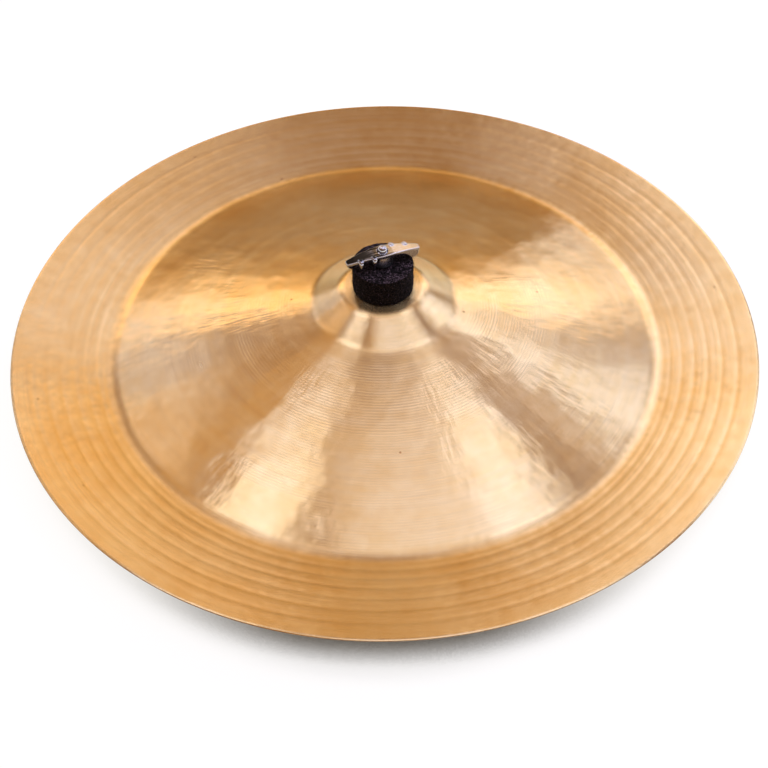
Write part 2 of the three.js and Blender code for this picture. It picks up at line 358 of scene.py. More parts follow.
# %% Measure the frame
cymbal_low, cymbal_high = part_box("cymbal")
top_felt_low, top_felt_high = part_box("top_felt")
bottom_felt_low, bottom_felt_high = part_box("bottom_felt")
sleeve_low, sleeve_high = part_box("rod_sleeve")
cup_low, cup_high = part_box("cup_washer")
coupler_low, coupler_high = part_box("stand_coupler")
rod_low, rod_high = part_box("threaded_rod")
washer_low, washer_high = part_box("nut_washer")
nut_low, nut_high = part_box("wing_nut")
print("Rim radius", round(cymbal_high.x, 4), "bell top", round(cymbal_high.z, 4))

# %% [markdown]
# ## The cymbal
# A china is spun and hammered bronze: a small bell with a straight side, a long shallow bow, a sharp
# bend and a flange that turns up. The outline is drawn once and turned. The flange's broad lathe
# bands are dips in the outline, and the hammer marks are pressed in afterwards.

# %% The cymbal's outline
RIM_RADIUS = cymbal_high.x
BELL_TOP = cymbal_high.z
BEND_RADIUS = 180 * MM
BELL_BASE_RADIUS = 46.6 * MM
BELL_FLAT_RADIUS = 24 * MM
HOLE_RADIUS = 6 * MM
BOW_RISE = 31.2 * MM
BELL_RISE = 11.7 * MM
BOW_CROWN = 1.5 * MM
FLANGE_ANGLE = math.radians(15.15)
BELL_WALL = 1.6 * MM
BOW_WALL = 1.1 * MM
RIM_WALL = 0.9 * MM
BEND_FILLET = 5 * MM
BELL_FOOT_FILLET = 2.4 * MM
BELL_SIDE_ANGLE = math.radians(31)
BELL_SHOULDER_RUN = 3.2 * MM
BAND_COUNT = 6
FIRST_BAND_SHARE = 0.14
BAND_SPACING_SHARE = 0.114
BAND_SPREAD_SHARE = 1.07
BAND_DIP = 0.11 * MM
BAND_DIP_WIDTH = 1.5 * MM
RING_STEP = 0.8 * MM
CYMBAL_STEPS = 312

bend_height = BELL_TOP - BELL_RISE - BOW_RISE


def band_radii():
    """Where the flange's dips are: they spread towards the rim."""
    width = RIM_RADIUS - BEND_RADIUS
    radius = BEND_RADIUS + width * FIRST_BAND_SHARE
    spacing = width * BAND_SPACING_SHARE
    radii = []
    for _ in range(BAND_COUNT):
        radii.append(radius)
        radius += spacing
        spacing *= BAND_SPREAD_SHARE
    return radii


def band_dip(radius):
    """How far the lathe cut below the flange's plain cone at a radius."""
    return BAND_DIP * sum(math.exp(-(((radius - band) / BAND_DIP_WIDTH) ** 2)) for band in band_radii())


def flange_height(radius):
    return bend_height + (radius - BEND_RADIUS) * math.tan(FLANGE_ANGLE) - band_dip(radius)


def top_face():
    """Points of the upper face from the hole to the rim."""
    bell_base = bend_height + BOW_RISE
    bow_slope = BOW_RISE / (BEND_RADIUS - BELL_BASE_RADIUS)
    foot = BELL_BASE_RADIUS + BELL_FOOT_FILLET
    bow_start = (foot, bell_base - BELL_FOOT_FILLET * bow_slope)
    bow_end = (BEND_RADIUS - BEND_FILLET, bend_height + BEND_FILLET * bow_slope)
    bow_pull = ((bow_start[0] + bow_end[0]) / 2, (bow_start[1] + bow_end[1]) / 2 + BOW_CROWN * 2)
    side_slope = math.tan(BELL_SIDE_ANGLE)
    shoulder = (BELL_BASE_RADIUS - BELL_RISE / side_slope, BELL_TOP)
    side_top = (shoulder[0] + BELL_SHOULDER_RUN, BELL_TOP - BELL_SHOULDER_RUN * side_slope)
    side_foot = (BELL_BASE_RADIUS - BELL_FOOT_FILLET, bell_base + BELL_FOOT_FILLET * side_slope)
    side_middle = tuple((a + b) / 2 for a, b in zip(side_top, side_foot))
    flange_start = BEND_RADIUS + BEND_FILLET
    flange_low = (flange_start, bend_height + BEND_FILLET * math.tan(FLANGE_ANGLE))
    points = [(HOLE_RADIUS, BELL_TOP), (BELL_FLAT_RADIUS * 0.6, BELL_TOP), (BELL_FLAT_RADIUS, BELL_TOP)]
    points += curved(points[-1], shoulder, side_top, 10)
    points += curved(side_top, side_middle, side_foot, 6)
    points += curved(side_foot, (BELL_BASE_RADIUS, bell_base), bow_start, 6)
    points += curved(bow_start, bow_pull, bow_end, 48)
    points += curved(bow_end, (BEND_RADIUS, bend_height), flange_low, 12)
    radius = flange_start + RING_STEP
    while radius < RIM_RADIUS - RIM_WALL:
        points.append((radius, flange_height(radius)))
        radius += RING_STEP
    return points


def wall_at(radius):
    """The wall thins from the bell to the bend, and again to the rim."""
    if radius < BEND_RADIUS:
        share = (radius - HOLE_RADIUS) / (BEND_RADIUS - HOLE_RADIUS)
        return BELL_WALL + (BOW_WALL - BELL_WALL) * share
    share = (radius - BEND_RADIUS) / (RIM_RADIUS - BEND_RADIUS)
    return BOW_WALL + (RIM_WALL - BOW_WALL) * share


def cymbal_outline():
    """Upper face, rounded rim and underside, as one closed outline."""
    above = top_face()
    edge_radius, edge_height = above[-1]
    wall = wall_at(edge_radius)
    centre = edge_height - wall / 2
    round_steps = 6
    rim = [
        (edge_radius + (RIM_RADIUS - edge_radius) * math.sin(math.pi * step / round_steps),
         centre + wall / 2 * math.cos(math.pi * step / round_steps))
        for step in range(1, round_steps)
    ]
    below = [(radius, height - wall_at(radius) / math.cos(FLANGE_ANGLE)) for radius, height in above]
    return above + rim + below[::-1]


cymbal = turn("bronze_cymbal", cymbal_outline(), CYMBAL_STEPS)

# %% [markdown]
# ### Hammer marks
# A smith raises the bow with overlapping blows. Squared distance to scattered points makes shallow
# round dents, as a ball-faced hammer does, and a slower swell keeps the sheet from being perfect.
# Both move the upper and lower face alike, so the wall keeps its thickness.

# %% Hammer the bow
HAMMER_MARK = 15 * MM
HAMMER_DEPTH = 0.26 * MM
SWELL_SIZE = 48 * MM
SWELL_HEIGHT = 0.5 * MM


def weigh(piece, name, weight_of):
    """A vertex group whose weight is a function of the place."""
    group = piece.vertex_groups.new(name=name)
    for vertex in piece.data.vertices:
        weight = weight_of(vertex.co)
        if weight > 0:
            group.add([vertex.index], weight, "REPLACE")
    return name


def between(value, low, high):
    """0 below low, 1 above high, and straight between them."""
    return max(0.0, min(1.0, (value - low) / (high - low)))


def hammered(place):
    """The dents fill the bow and fade out over the bend."""
    radius = math.hypot(place.x, place.y)
    start = between(radius, BELL_BASE_RADIUS, BELL_BASE_RADIUS + HAMMER_MARK)
    end = 1 - 0.75 * between(radius, BEND_RADIUS - HAMMER_MARK, BEND_RADIUS)
    return start * end


def swollen(place):
    radius = math.hypot(place.x, place.y)
    return between(radius, BELL_BASE_RADIUS, BEND_RADIUS / 2) * (1 - between(radius, BEND_RADIUS, RIM_RADIUS))


dents = bpy.data.textures.new("dents", "VORONOI")
dents.distance_metric = "DISTANCE_SQUARED"
dents.noise_scale = HAMMER_MARK
swell = bpy.data.textures.new("swell", "CLOUDS")
swell.noise_scale = SWELL_SIZE
swell.noise_depth = 1
modify(
    cymbal, "DISPLACE", texture=dents, texture_coords="LOCAL", direction="Z", mid_level=0.3,
    strength=HAMMER_DEPTH, vertex_group=weigh(cymbal, "hammered", hammered),
)
modify(
    cymbal, "DISPLACE", texture=swell, texture_coords="LOCAL", direction="Z", mid_level=0.5,
    strength=SWELL_HEIGHT, vertex_group=weigh(cymbal, "swollen", swollen),
)
cymbal.vertex_groups.clear()
smooth(cymbal)
print("Cymbal box", box_in_mm(cymbal))

# %% [markdown]
# ### Bronze
# Lathe lines run round the cymbal and are far finer than the eye can see. They scatter light along
# the radius and hardly at all around it, which is why a cymbal shows bright wedges. The shader does
# this with anisotropy, and the tangent turns with the piece. The lines wide enough to see are tone
# grooves of an even pitch, with radial wrinkles and small dents that bend each wedge's edge.

# %% Mix the bronze
INNER_LINE = 1.90 * MM
OUTER_LINE = 1.68 * MM
INNER_LINE_END = 107 * MM
LINE_WANDER = 0.35
LINE_WANDER_SIZE = 30 * MM
TONE_LINE_HEIGHT = 0.020 * MM
FINE_LINE = 0.45 * MM
FINE_LINE_HEIGHT = 0.005 * MM
BROAD_LINE = 6 * MM
SMALL_DENT = 6 * MM
DENT_DEPTH = 0.07 * MM
PATINA = 60 * MM
BLOTCH = 9 * MM
WRINKLES_PER_TURN = 20
WRINKLE_HEIGHT = 0.16 * MM
WRINKLE_LENGTH = 26 * MM
WRINKLE_PATCH = 40 * MM
PIT_SPACING = 26 * MM
PIT_SHARE = 0.022
PALE_BRONZE = colour(1.0, 0.83, 0.49)
DEEP_BRONZE = colour(0.88, 0.63, 0.27)
GROOVE_BROWN = colour(0.50, 0.27, 0.10)


def bronze():
    """Turned bronze: grooves, patina and pits in its colour, and dents, wrinkles and lines in its relief."""
    paint = Paint("turned_bronze")
    x, y, _ = paint.axes()
    radius = (x * x + y * y) ** 0.5
    round_x = x / radius
    round_y = y / radius
    waver = paint.noise(LINE_WANDER_SIZE, 2, 0.5) * LINE_WANDER

    def rings(pitch, wander, detail=1):
        """Noise that changes along the radius and hardly at all round the axis."""
        return paint.noise(1, detail, 0.5, paint.vector(radius / pitch, round_x * wander, round_y * wander))

    def grooves(pitch):
        """Tone grooves cut at an even pitch: 0 on the ridges and 1 in the grooves."""
        return ((radius / pitch + waver) * FULL_TURN).math("SINE") * 0.5 + 0.5

    inner = 1 - radius.ramp(INNER_LINE_END - INNER_LINE, INNER_LINE_END + INNER_LINE)
    outer = (1 - inner) * (1 - radius.ramp(BEND_RADIUS - BEND_FILLET, BEND_RADIUS + BEND_FILLET))
    fine = rings(FINE_LINE, 2, 2)
    broad = rings(BROAD_LINE, 0.5)
    off_bell = radius.ramp(BELL_BASE_RADIUS - INNER_LINE, BELL_BASE_RADIUS + INNER_LINE_END / 6) * 0.8 + 0.2
    depth = (broad.ramp(0.25, 0.6) * 0.7 + 0.3) * off_bell
    tone = (grooves(INNER_LINE) * inner + grooves(OUTER_LINE) * outer * 0.6) * depth
    patina = paint.noise(PATINA, 3, 0.55)
    blotch = paint.noise(BLOTCH, 3, 0.6)
    near_pit = paint.cells(PIT_SPACING)
    pit = 1 - near_pit.ramp(PIT_SHARE, PIT_SHARE * 1.6)
    wrinkle = paint.noise(1, 2, 0.55, paint.vector(
        round_x * WRINKLES_PER_TURN, round_y * WRINKLES_PER_TURN, radius / WRINKLE_LENGTH,
    ))
    on_bow = radius.ramp(BELL_BASE_RADIUS, BEND_RADIUS / 2)
    on_bow = on_bow * (1 - radius.ramp(BEND_RADIUS - BEND_FILLET, BEND_RADIUS))
    creased = paint.noise(WRINKLE_PATCH, 1, 0.5).ramp(0.42, 0.62) * on_bow
    tint = patina * 0.5 + blotch * 0.2 + fine * 0.15 + broad * 0.15
    base = paint.mix(tint.ramp(0.32, 0.68), DEEP_BRONZE, PALE_BRONZE)
    base = paint.mix(tone * 0.11 + fine.ramp(0.45, 0.75) * 0.18, base, GROOVE_BROWN)
    base = paint.mix(pit * 0.8, base, GROOVE_BROWN)
    relief = paint.bump(paint.cells(SMALL_DENT, "SMOOTH_F1"), DENT_DEPTH)
    relief = paint.bump(wrinkle * creased, WRINKLE_HEIGHT, under=relief)
    relief = paint.bump(tone, TONE_LINE_HEIGHT, under=relief)
    relief = paint.bump(fine, FINE_LINE_HEIGHT, under=relief)
    paint.set(
        base_color=base, metallic=1, roughness=0.237 + broad * 0.03 + patina * 0.02, normal=relief,
        anisotropic=0.89, anisotropic_rotation=0.25,
        tangent=paint.add("Tangent", {"direction_type": "RADIAL", "axis": "Z"}),
    )
    return paint


dress(cymbal, bronze())
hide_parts("cymbal")
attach(cymbal, "dish")

# %% [markdown]
# ## Felts
# Cymbal felts are punched from thick pressed wool, so they are a tangle of fibre with soft edges.
# A turned pad is dented inwards by two sizes of cloud, which keeps it inside its place, and then
# short strands, modelled once and copied, stand out of it as loose wool does.

# %% Turn and roughen the pads
FELT_BORE = 5.2 * MM
FELT_GIVE = 0.95 * MM
FELT_EDGE = 0.9 * MM
FELT_GRID = 0.52 * MM
FELT_TUFTS = ((4.5 * MM, 0.5 * MM), (1.5 * MM, 1.1 * MM))


def stepped(outline, gap):
    """Adds points along the straight stretches of a closed outline."""
    points = []
    for index, start in enumerate(outline):
        end = outline[(index + 1) % len(outline)]
        length = math.dist(start, end)
        count = max(1, round(length / gap))
        points += [tuple(a + (b - a) * step / count for a, b in zip(start, end)) for step in range(count)]
    return points


def felt_pad(name, low, high):
    """A pad that fills its node's box. Its bore widens in the middle, where it leans as the cymbal rocks."""
    edge = high.x - FELT_EDGE
    body = [(FELT_BORE, low.z), (edge, low.z)]
    body += curved(body[-1], (high.x, low.z), (high.x, low.z + FELT_EDGE), 4)
    body.append((high.x, high.z - FELT_EDGE))
    body += curved(body[-1], (high.x, high.z), (edge, high.z), 4)
    body.append((FELT_BORE, high.z))
    bore_pull = (FELT_BORE + FELT_GIVE * 2, (low.z + high.z) / 2)
    body += curved(body[-1], bore_pull, body[0], 12)[:-1]
    pad = turn(name, stepped(body, FELT_GRID), round(FULL_TURN * high.x / FELT_GRID))
    clear_of_bore = weigh(pad, "clear", lambda place: between(
        math.hypot(place.x, place.y), FELT_BORE + FELT_GRID, FELT_BORE + FELT_GRID * 3,
    ))
    for size, depth in FELT_TUFTS:
        cloud = bpy.data.textures.new("wool", "CLOUDS")
        cloud.noise_scale = size
        cloud.noise_depth = 2
        modify(
            pad, "DISPLACE", texture=cloud, texture_coords="LOCAL", direction="NORMAL",
            mid_level=1, strength=depth, vertex_group=clear_of_bore,
        )
    pad.vertex_groups.clear()
    return smooth(pad, 80)


top_felt = felt_pad("top_felt_pad", top_felt_low, top_felt_high)
bottom_felt = felt_pad("bottom_felt_pad", bottom_felt_low, bottom_felt_high)

# %% One strand of wool, copied over the pads
STRAND_LENGTH = 1.9 * MM
STRAND_RADIUS = 0.09 * MM
STRAND_LINKS = 4
STRAND_BEND = math.radians(32)
STRANDS_PER_MM2 = 0.75
STRAND_LIFT = (0.1, 0.9)
STRAND_PROUD = 0.2 * MM
FELT_SPREAD = 1.0 * MM


def strand():
    """A thin three-sided strand that curls as it rises along Z."""
    bpy.ops.object.select_all(action="DESELECT")
    bpy.ops.mesh.primitive_circle_add(vertices=3, radius=STRAND_RADIUS, fill_type="NGON")
    piece = named("strand")
    link = STRAND_LENGTH / STRAND_LINKS
    with editing(piece):
        lean = 0
        for _ in range(STRAND_LINKS):
            step = Vector((math.sin(lean) * link, 0, math.cos(lean) * link))
            bpy.ops.mesh.extrude_region_move(TRANSFORM_OT_translate={"value": step})
            bpy.ops.transform.resize(value=(0.85, 0.85, 0.85))
            lean += STRAND_BEND
        bpy.ops.mesh.select_all(action="SELECT")
        bpy.ops.mesh.normals_make_consistent(inside=False)
    return piece


def seeded_places(pad, count, chance):
    """Places and normals on a pad, spread by area. Sorted first, as merging leaves faces in any order."""
    faces = sorted(pad.data.polygons, key=lambda face: tuple(face.center))
    chosen = chance.choices(faces, weights=[face.area for face in faces], k=count)
    return [(face.center.copy(), face.normal.copy()) for face in chosen]


def wool(pad, model, seed, low, high, cup_top):
    """Copies the strand all over a pad and joins on those that stay clear of its neighbours."""
    chance = random.Random(seed)
    area = sum(face.area for face in pad.data.polygons)
    count = round(area / MM / MM * STRANDS_PER_MM2)
    strands = []
    for place, normal in seeded_places(pad, count, chance):
        flat = normal.orthogonal()
        flat.rotate(Matrix.Rotation(chance.uniform(0, FULL_TURN), 3, normal))
        way = (flat + normal * chance.uniform(*STRAND_LIFT)).normalized()
        turn_to = way.to_track_quat("Z", "X").to_matrix().to_4x4()
        put = Matrix.Translation(place) @ turn_to @ Matrix.Scale(chance.uniform(0.6, 1.25), 4)
        corners = [put @ vertex.co for vertex in model.data.vertices]
        reach = [math.hypot(corner.x, corner.y) for corner in corners]
        heights = [corner.z for corner in corners]
        widest = high.x + (STRAND_PROUD if min(heights) < cup_top else FELT_SPREAD)
        if min(reach) < FELT_BORE + FELT_GIVE or max(reach) > widest:
            continue
        if min(heights) < low.z or max(heights) > high.z + STRAND_PROUD:
            continue
        copy = bpy.data.objects.new("strand", model.data.copy())
        bpy.context.collection.objects.link(copy)
        copy.matrix_world = put
        strands.append(copy)
    join(pad, *strands)
    print(pad.name, "has", len(strands), "strands and", triangles(pad), "triangles")


one_strand = strand()

# %% [markdown]
# ### Wool
# Black felt is never quite black: dyed wool is mixed with browner fibre, so it is speckled close up.
# The cloth-like sheen is a constant on the shader, and the speckle feeds only the colour. The top
# is painted lighter than the sides, as top light makes it, and painted shade darkens the speckle
# where other pieces close the felt in.


# %% Mix the wool
FIBRE = 1.1 * MM
CLUMP = 5 * MM
FUZZ = 0.7 * MM
FUZZ_HEIGHT = 0.5 * MM
FELT_SHADE_REACH = 13 * MM


def felt_paint(name, dark, side, painted_lit_top, speckle):
    """Speckled wool whose top is painted lighter than its browner sides, as top light makes it, and which has
    painted shade where other pieces close it in.
    """
    paint = Paint(name)
    fibre = paint.noise(FIBRE, 3, 0.75)
    clump = paint.noise(CLUMP, 2, 0.5)
    amount = (fibre * 0.85 + clump * 0.15).ramp(*speckle)
    # Painted shade: ambient occlusion turns the speckle black where the nut and other pieces close the felt
    # in.
    open_air = paint.open_air(FELT_SHADE_REACH).ramp(0.30, 0.62)
    # The top is painted lighter than the sides, as top light makes it.
    fibre_colour_lit_on_top = paint.mix(paint.upward().ramp(0.2, 0.8), side, painted_lit_top)
    fuzz = paint.bump(paint.noise(FUZZ, 3, 0.7), FUZZ_HEIGHT)
    paint.set(
        base_color=paint.mix(amount * open_air, dark, fibre_colour_lit_on_top), roughness=0.95, normal=fuzz,
        sheen_weight=0.05, sheen_roughness=0.5, specular_ior_level=0.1,
    )
    return paint


pressed_wool = felt_paint(
    "pressed_wool",
    dark=colour(0.003, 0.0025, 0.003), side=colour(0.04, 0.026, 0.020), painted_lit_top=colour(0.16, 0.12, 0.15),
    speckle=(0.49, 0.64),
)
loose_wool = felt_paint(
    "loose_wool",
    dark=colour(0.004, 0.003, 0.003), side=colour(0.06, 0.042, 0.036), painted_lit_top=colour(0.24, 0.19, 0.24),
    speckle=(0.47, 0.62),
)
dress(one_strand, loose_wool)
for pad, node, seed, low, high, cup_top in (
    (top_felt, "top_felt", 3, top_felt_low, top_felt_high, 0),
    (bottom_felt, "bottom_felt", 5, bottom_felt_low, bottom_felt_high, cup_high.z + STRAND_PROUD),
):
    dress(pad, pressed_wool)
    wool(pad, one_strand, seed, low, high, cup_top)
    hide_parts(node)
bpy.data.objects.remove(one_strand)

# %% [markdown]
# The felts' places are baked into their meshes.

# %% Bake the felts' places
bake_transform(top_felt)
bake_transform(bottom_felt)

# %% [markdown]
# ## The wing nut
# It is a die casting, so all its corners are soft and its faces flow into each other. The frame's
# solid has the form with crisp corners. A copy of it is merged, remeshed to an even skin and
# relaxed, which rounds the corners as the die and the plating do.

# %% Cast the wing nut
CAST_GRID = 0.22 * MM
CAST_SWELL = 0.12 * MM
CAST_EASE = 4


def copy_of(node, name):
    """A merged copy of a frame node."""
    alone(bpy.data.objects[node])
    bpy.ops.object.duplicate()
    piece = bpy.context.object
    piece.name = name
    piece.data.name = name
    with editing(piece):
        bpy.ops.mesh.remove_doubles(threshold=MERGE_GAP)
    return piece


wing_nut = copy_of("wing_nut", "cast_wing_nut")

# %% [markdown]
# Each claw swells out of the plate's edge like a knuckle and tapers to a bent tip. It is a path with
# a thickness at each point, made a mesh and set over the claw of the frame's solid, so that the
# remesh melts the two into one.

# %% Shape the claws
WING_YAW = math.radians(19)
WING_HALF = 24 * MM
WAIST_HALF = 5.4 * MM
TIP_HALF = 2.2 * MM
WING_PULL = 4.3 * MM
WING_DROOP = 2.8 * MM
PLATE_TOP = nut_low.z + 9.2 * MM
CLAW_PLACES = (7 * MM, 15.4 * MM)
CLAW_PATH = (
    (-1.5 * MM, -0.9 * MM, 1.5),
    (0.4 * MM, -0.1 * MM, 1.45),
    (2.0 * MM, -0.9 * MM, 1.15),
    (1.9 * MM, -3.8 * MM, 0.75),
    (0.9 * MM, -6.6 * MM, 0.32),
)
CLAW_FLARE = 1.2


def claw(along, way):
    """One claw on the edge of a wing: way is 1 on the right wing and -1 on the left."""
    share = along / WING_HALF
    rest = 1 - share
    edge = rest * rest * WAIST_HALF + 2 * share * rest * WING_PULL + share * share * TIP_HALF
    top = PLATE_TOP - WING_DROOP * share * share
    alone()
    bpy.ops.curve.primitive_nurbs_path_add()
    path = bpy.context.object
    path.data.bevel_depth = MM
    path.data.bevel_resolution = 4
    path.data.use_fill_caps = True
    for point, (out, up, thickness) in zip(path.data.splines[0].points, CLAW_PATH):
        point.co = (0, out, up, 1)
        point.radius = thickness
    alone(path)
    bpy.ops.object.convert(target="MESH")
    path.scale.x = CLAW_FLARE
    path.location = (along, edge, top)
    piece = named("claw")
    piece.rotation_euler.z = WING_YAW + (math.pi if way < 0 else 0)
    bpy.ops.object.transform_apply(location=True, rotation=True, scale=True)
    return piece


join(wing_nut, *[claw(along, way) for along in CLAW_PLACES for way in (1, -1)])
modify(wing_nut, "REMESH", mode="VOXEL", voxel_size=CAST_GRID, adaptivity=0)
modify(wing_nut, "DISPLACE", direction="NORMAL", mid_level=0, strength=CAST_SWELL)
modify(wing_nut, "SMOOTH", factor=0.5, iterations=CAST_EASE)
smooth(wing_nut, 60)
print("Wing nut:", triangles(wing_nut), "triangles, box", box_in_mm(wing_nut))


# %% [markdown]
# ### Chrome
# The casting was brushed along its wings before it was plated, which its relief and roughness
# carry, and hands have polished its edges smoother since. Its colour holds painted reflections: the
# top is painted streaky, darker towards the left wing and lighter towards the right, and the sides
# are painted light. The edges, which Pointiness finds, carry a painted highlight, and corners are
# painted dark as shade.

# %% Mix the chrome
STREAK = (16 * MM, 1.1 * MM, 4 * MM)
STREAK_HEIGHT = 0.012 * MM
NUT_CLOUD = 5 * MM
NUT_CLOUD_HEIGHT = 0.03 * MM
NUT_SHADE_REACH = 4 * MM
DRAW_MARK = (6 * MM, 0.5 * MM, 0.8 * MM)
DRAW_MARK_HEIGHT = 0.004 * MM
SKIN_WAVE = 3.5 * MM
SKIN_WAVE_HEIGHT = 0.02 * MM


def brushed_chrome_painted_light():
    """Chrome whose colour carries painted light: the top is painted streaky, darker on the left wing and
    lighter on the right, as reflections, the sides are painted light, the edges carry a painted highlight and
    the corners painted shade.
    """
    paint = Paint("brushed_chrome_painted_light")
    x, y, z = paint.axes()
    along = x * math.cos(WING_YAW) + y * math.sin(WING_YAW)
    across = y * math.cos(WING_YAW) - x * math.sin(WING_YAW)
    length, width, depth = STREAK
    streak = paint.noise(1, 2, 0.6, paint.vector(along / length, across / width, z / depth))
    cloud = paint.noise(NUT_CLOUD, 2, 0.5)
    # Painted reflection: the left wing is painted darker than the right.
    right = along.ramp(-WING_HALF, WING_HALF)
    # Painted highlight on the edges, which are also smoother.
    edge = paint.add("NewGeometry", out="Pointiness").ramp(0.515, 0.56)
    # Painted shade: corners that other pieces close in are painted dark.
    open_air = paint.open_air(NUT_SHADE_REACH).ramp(0.25, 0.8)
    up = paint.upward().ramp(0.75, 0.95)
    # Painted reflection: streaks on the top, and light sides.
    painted_reflection = (streak * 0.5 + right * 0.5).ramp(0.34, 0.62) * up + (1 - up) * 0.85
    flat = paint.mix(painted_reflection, colour(0.025, 0.024, 0.022), colour(0.74, 0.76, 0.82))
    colour_with_painted_highlight = paint.mix(edge, flat, colour(0.95, 0.92, 0.84))
    relief = paint.bump(cloud, NUT_CLOUD_HEIGHT)
    relief = paint.bump(streak, STREAK_HEIGHT, under=relief)
    paint.set(
        base_color=paint.mix(open_air, colour(0.02, 0.018, 0.018), colour_with_painted_highlight), metallic=1,
        roughness=0.17 - edge * 0.08 + streak * 0.06, normal=relief,
    )
    return paint


def plating(name, dull, bright, roughness, wear_size):
    """Plated metal: fine draw marks, soft wear and a skin that isn't quite flat."""
    paint = Paint(name)
    x, y, z = paint.axes()
    wear = paint.noise(wear_size, 3, 0.6)
    length, width, depth = DRAW_MARK
    marks = paint.noise(1, 2, 0.6, paint.vector(x / length, y / width, z / depth))
    amount = (wear * 0.7 + marks * 0.3).ramp(0.35, 0.68)
    skin = paint.bump(paint.noise(SKIN_WAVE, 1, 0.4), SKIN_WAVE_HEIGHT)
    skin = paint.bump(marks, DRAW_MARK_HEIGHT, under=skin)
    paint.set(
        base_color=paint.mix(amount, dull, bright), metallic=1,
        roughness=roughness + (1 - amount) * 0.12, normal=skin,
    )
    return paint


dress(wing_nut, brushed_chrome_painted_light())
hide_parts("wing_nut")
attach(wing_nut, "nut")

# %% [markdown]
# ## Threads
# A thread is one groove wound round a rod. Its section is swept up the axis by the Screw modifier
# to make a cutter, and the cutter is taken out of a plain turned blank, so that the thread runs
# out into the blank just as it does under a die.


# %% Cut a thread
THREAD_STEPS = 40
THREAD_OVERCUT = 0.05 * MM
THREAD_HALF_ANGLE = math.radians(30)
ROOT_FLAT_SHARE = 0.1


def thread_cutter(name, root, surface, pitch, low, high):
    """A coil with the section of the groove between the root and the surface."""
    way = math.copysign(1, surface - root)
    root_half = pitch * ROOT_FLAT_SHARE
    open_half = root_half + (abs(surface - root) + THREAD_OVERCUT) * math.tan(THREAD_HALF_ANGLE)
    mouth = surface + way * THREAD_OVERCUT
    section = [
        (root, low - root_half),
        (mouth, low - open_half),
        (mouth, low + open_half),
        (root, low + root_half),
    ]
    bpy.ops.object.select_all(action="DESELECT")
    bpy.ops.mesh.primitive_plane_add(size=MM, location=(section[0][0], 0, section[0][1]))
    coil = named(name)
    with editing(coil):
        bpy.ops.mesh.merge(type="CENTER")
        for here, there in zip(section, section[1:]):
            step = Vector((there[0] - here[0], 0, there[1] - here[1]))
            bpy.ops.mesh.extrude_region_move(TRANSFORM_OT_translate={"value": step})
        bpy.ops.mesh.select_all(action="SELECT")
        bpy.ops.mesh.edge_face_add()
    modify(
        coil, "SCREW", axis="Z", screw_offset=pitch, iterations=round((high - low) / pitch),
        steps=THREAD_STEPS, render_steps=THREAD_STEPS, use_merge_vertices=True, use_normal_calculate=True,
    )
    with editing(coil):
        bpy.ops.mesh.remove_doubles(threshold=MERGE_GAP)
        bpy.ops.mesh.fill_holes(sides=len(section))
        bpy.ops.mesh.normals_make_consistent(inside=False)
    return coil


def cut(piece, tool, operation="DIFFERENCE"):
    """A boolean cut that uses its tool up."""
    modify(piece, "BOOLEAN", object=tool, operation=operation, solver="EXACT")
    bpy.data.objects.remove(tool)
    return piece


ROD_RADIUS = rod_high.x
ROD_PITCH = 1 * MM
ROD_ROOT = ROD_RADIUS - 0.6 * MM
ROD_FOOT_CHAMFER = 0.6 * MM
DOME_STEPS = 12

dome_centre = rod_high.z - ROD_RADIUS
rod_outline = [
    (0, rod_low.z),
    (ROD_RADIUS - ROD_FOOT_CHAMFER, rod_low.z),
    (ROD_RADIUS, rod_low.z + ROD_FOOT_CHAMFER),
]
for step in range(DOME_STEPS):
    angle = math.pi / 2 * step / DOME_STEPS
    rod_outline.append((ROD_RADIUS * math.cos(angle), dome_centre + ROD_RADIUS * math.sin(angle)))
rod_outline.append((0, rod_high.z))
rod = turn("threaded_rod_m6", rod_outline, THREAD_STEPS, closed=False)
cut(rod, thread_cutter(
    "die", ROD_ROOT, ROD_RADIUS, ROD_PITCH, rod_low.z - ROD_PITCH, dome_centre - ROD_PITCH,
))
smooth(rod, 50)
dress(rod, plating(
    "bright_thread", colour(0.55, 0.55, 0.57), colour(0.80, 0.80, 0.82), roughness=0.10, wear_size=3 * MM,
))
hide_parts("threaded_rod")
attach(rod, "post")
print("Rod:", triangles(rod), "triangles")

# %% [markdown]
# ## Washers, sleeve and coupler
# The hidden hardware is plain turned ware. Its outlines follow the frame's boxes, with each corner
# rounded by what pressing, moulding or zinc plating leaves.

# %% Turn the washers and the sleeve
NUT_WASHER_BORE = 4.8 * MM
NUT_WASHER_LIP = 0.7 * MM
NUT_WASHER_SINK = 0.7 * MM
PLATED_CORNER = 0.25 * MM
SMALL_STEPS = 96

nut_washer = turn("captive_nut_washer", rounded([
    (NUT_WASHER_BORE + NUT_WASHER_LIP, washer_low.z),
    (washer_high.x, washer_low.z),
    (washer_high.x, washer_high.z),
    (NUT_WASHER_BORE, washer_high.z),
    (NUT_WASHER_BORE, washer_high.z - NUT_WASHER_SINK),
], PLATED_CORNER), SMALL_STEPS)

CUP_FLOOR = 1.5 * MM
CUP_WALL = 1.2 * MM
CUP_BORE = 5.2 * MM
PRESSED_CORNER = 0.55 * MM

cup_washer = turn("pressed_cup_washer", rounded([
    (CUP_BORE, cup_low.z),
    (cup_high.x - CUP_WALL, cup_low.z),
    (cup_high.x, cup_low.z + CUP_WALL),
    (cup_high.x, cup_high.z),
    (cup_high.x - CUP_WALL, cup_high.z),
    (cup_high.x - CUP_WALL, cup_low.z + CUP_FLOOR),
    (CUP_BORE, cup_low.z + CUP_FLOOR),
], PRESSED_CORNER), SMALL_STEPS * 2)

SLEEVE_BORE = 3.3 * MM
SLEEVE_WALL = 1.6 * MM
SLEEVE_FLANGE = 1.5 * MM
MOULDED_CORNER = 0.35 * MM

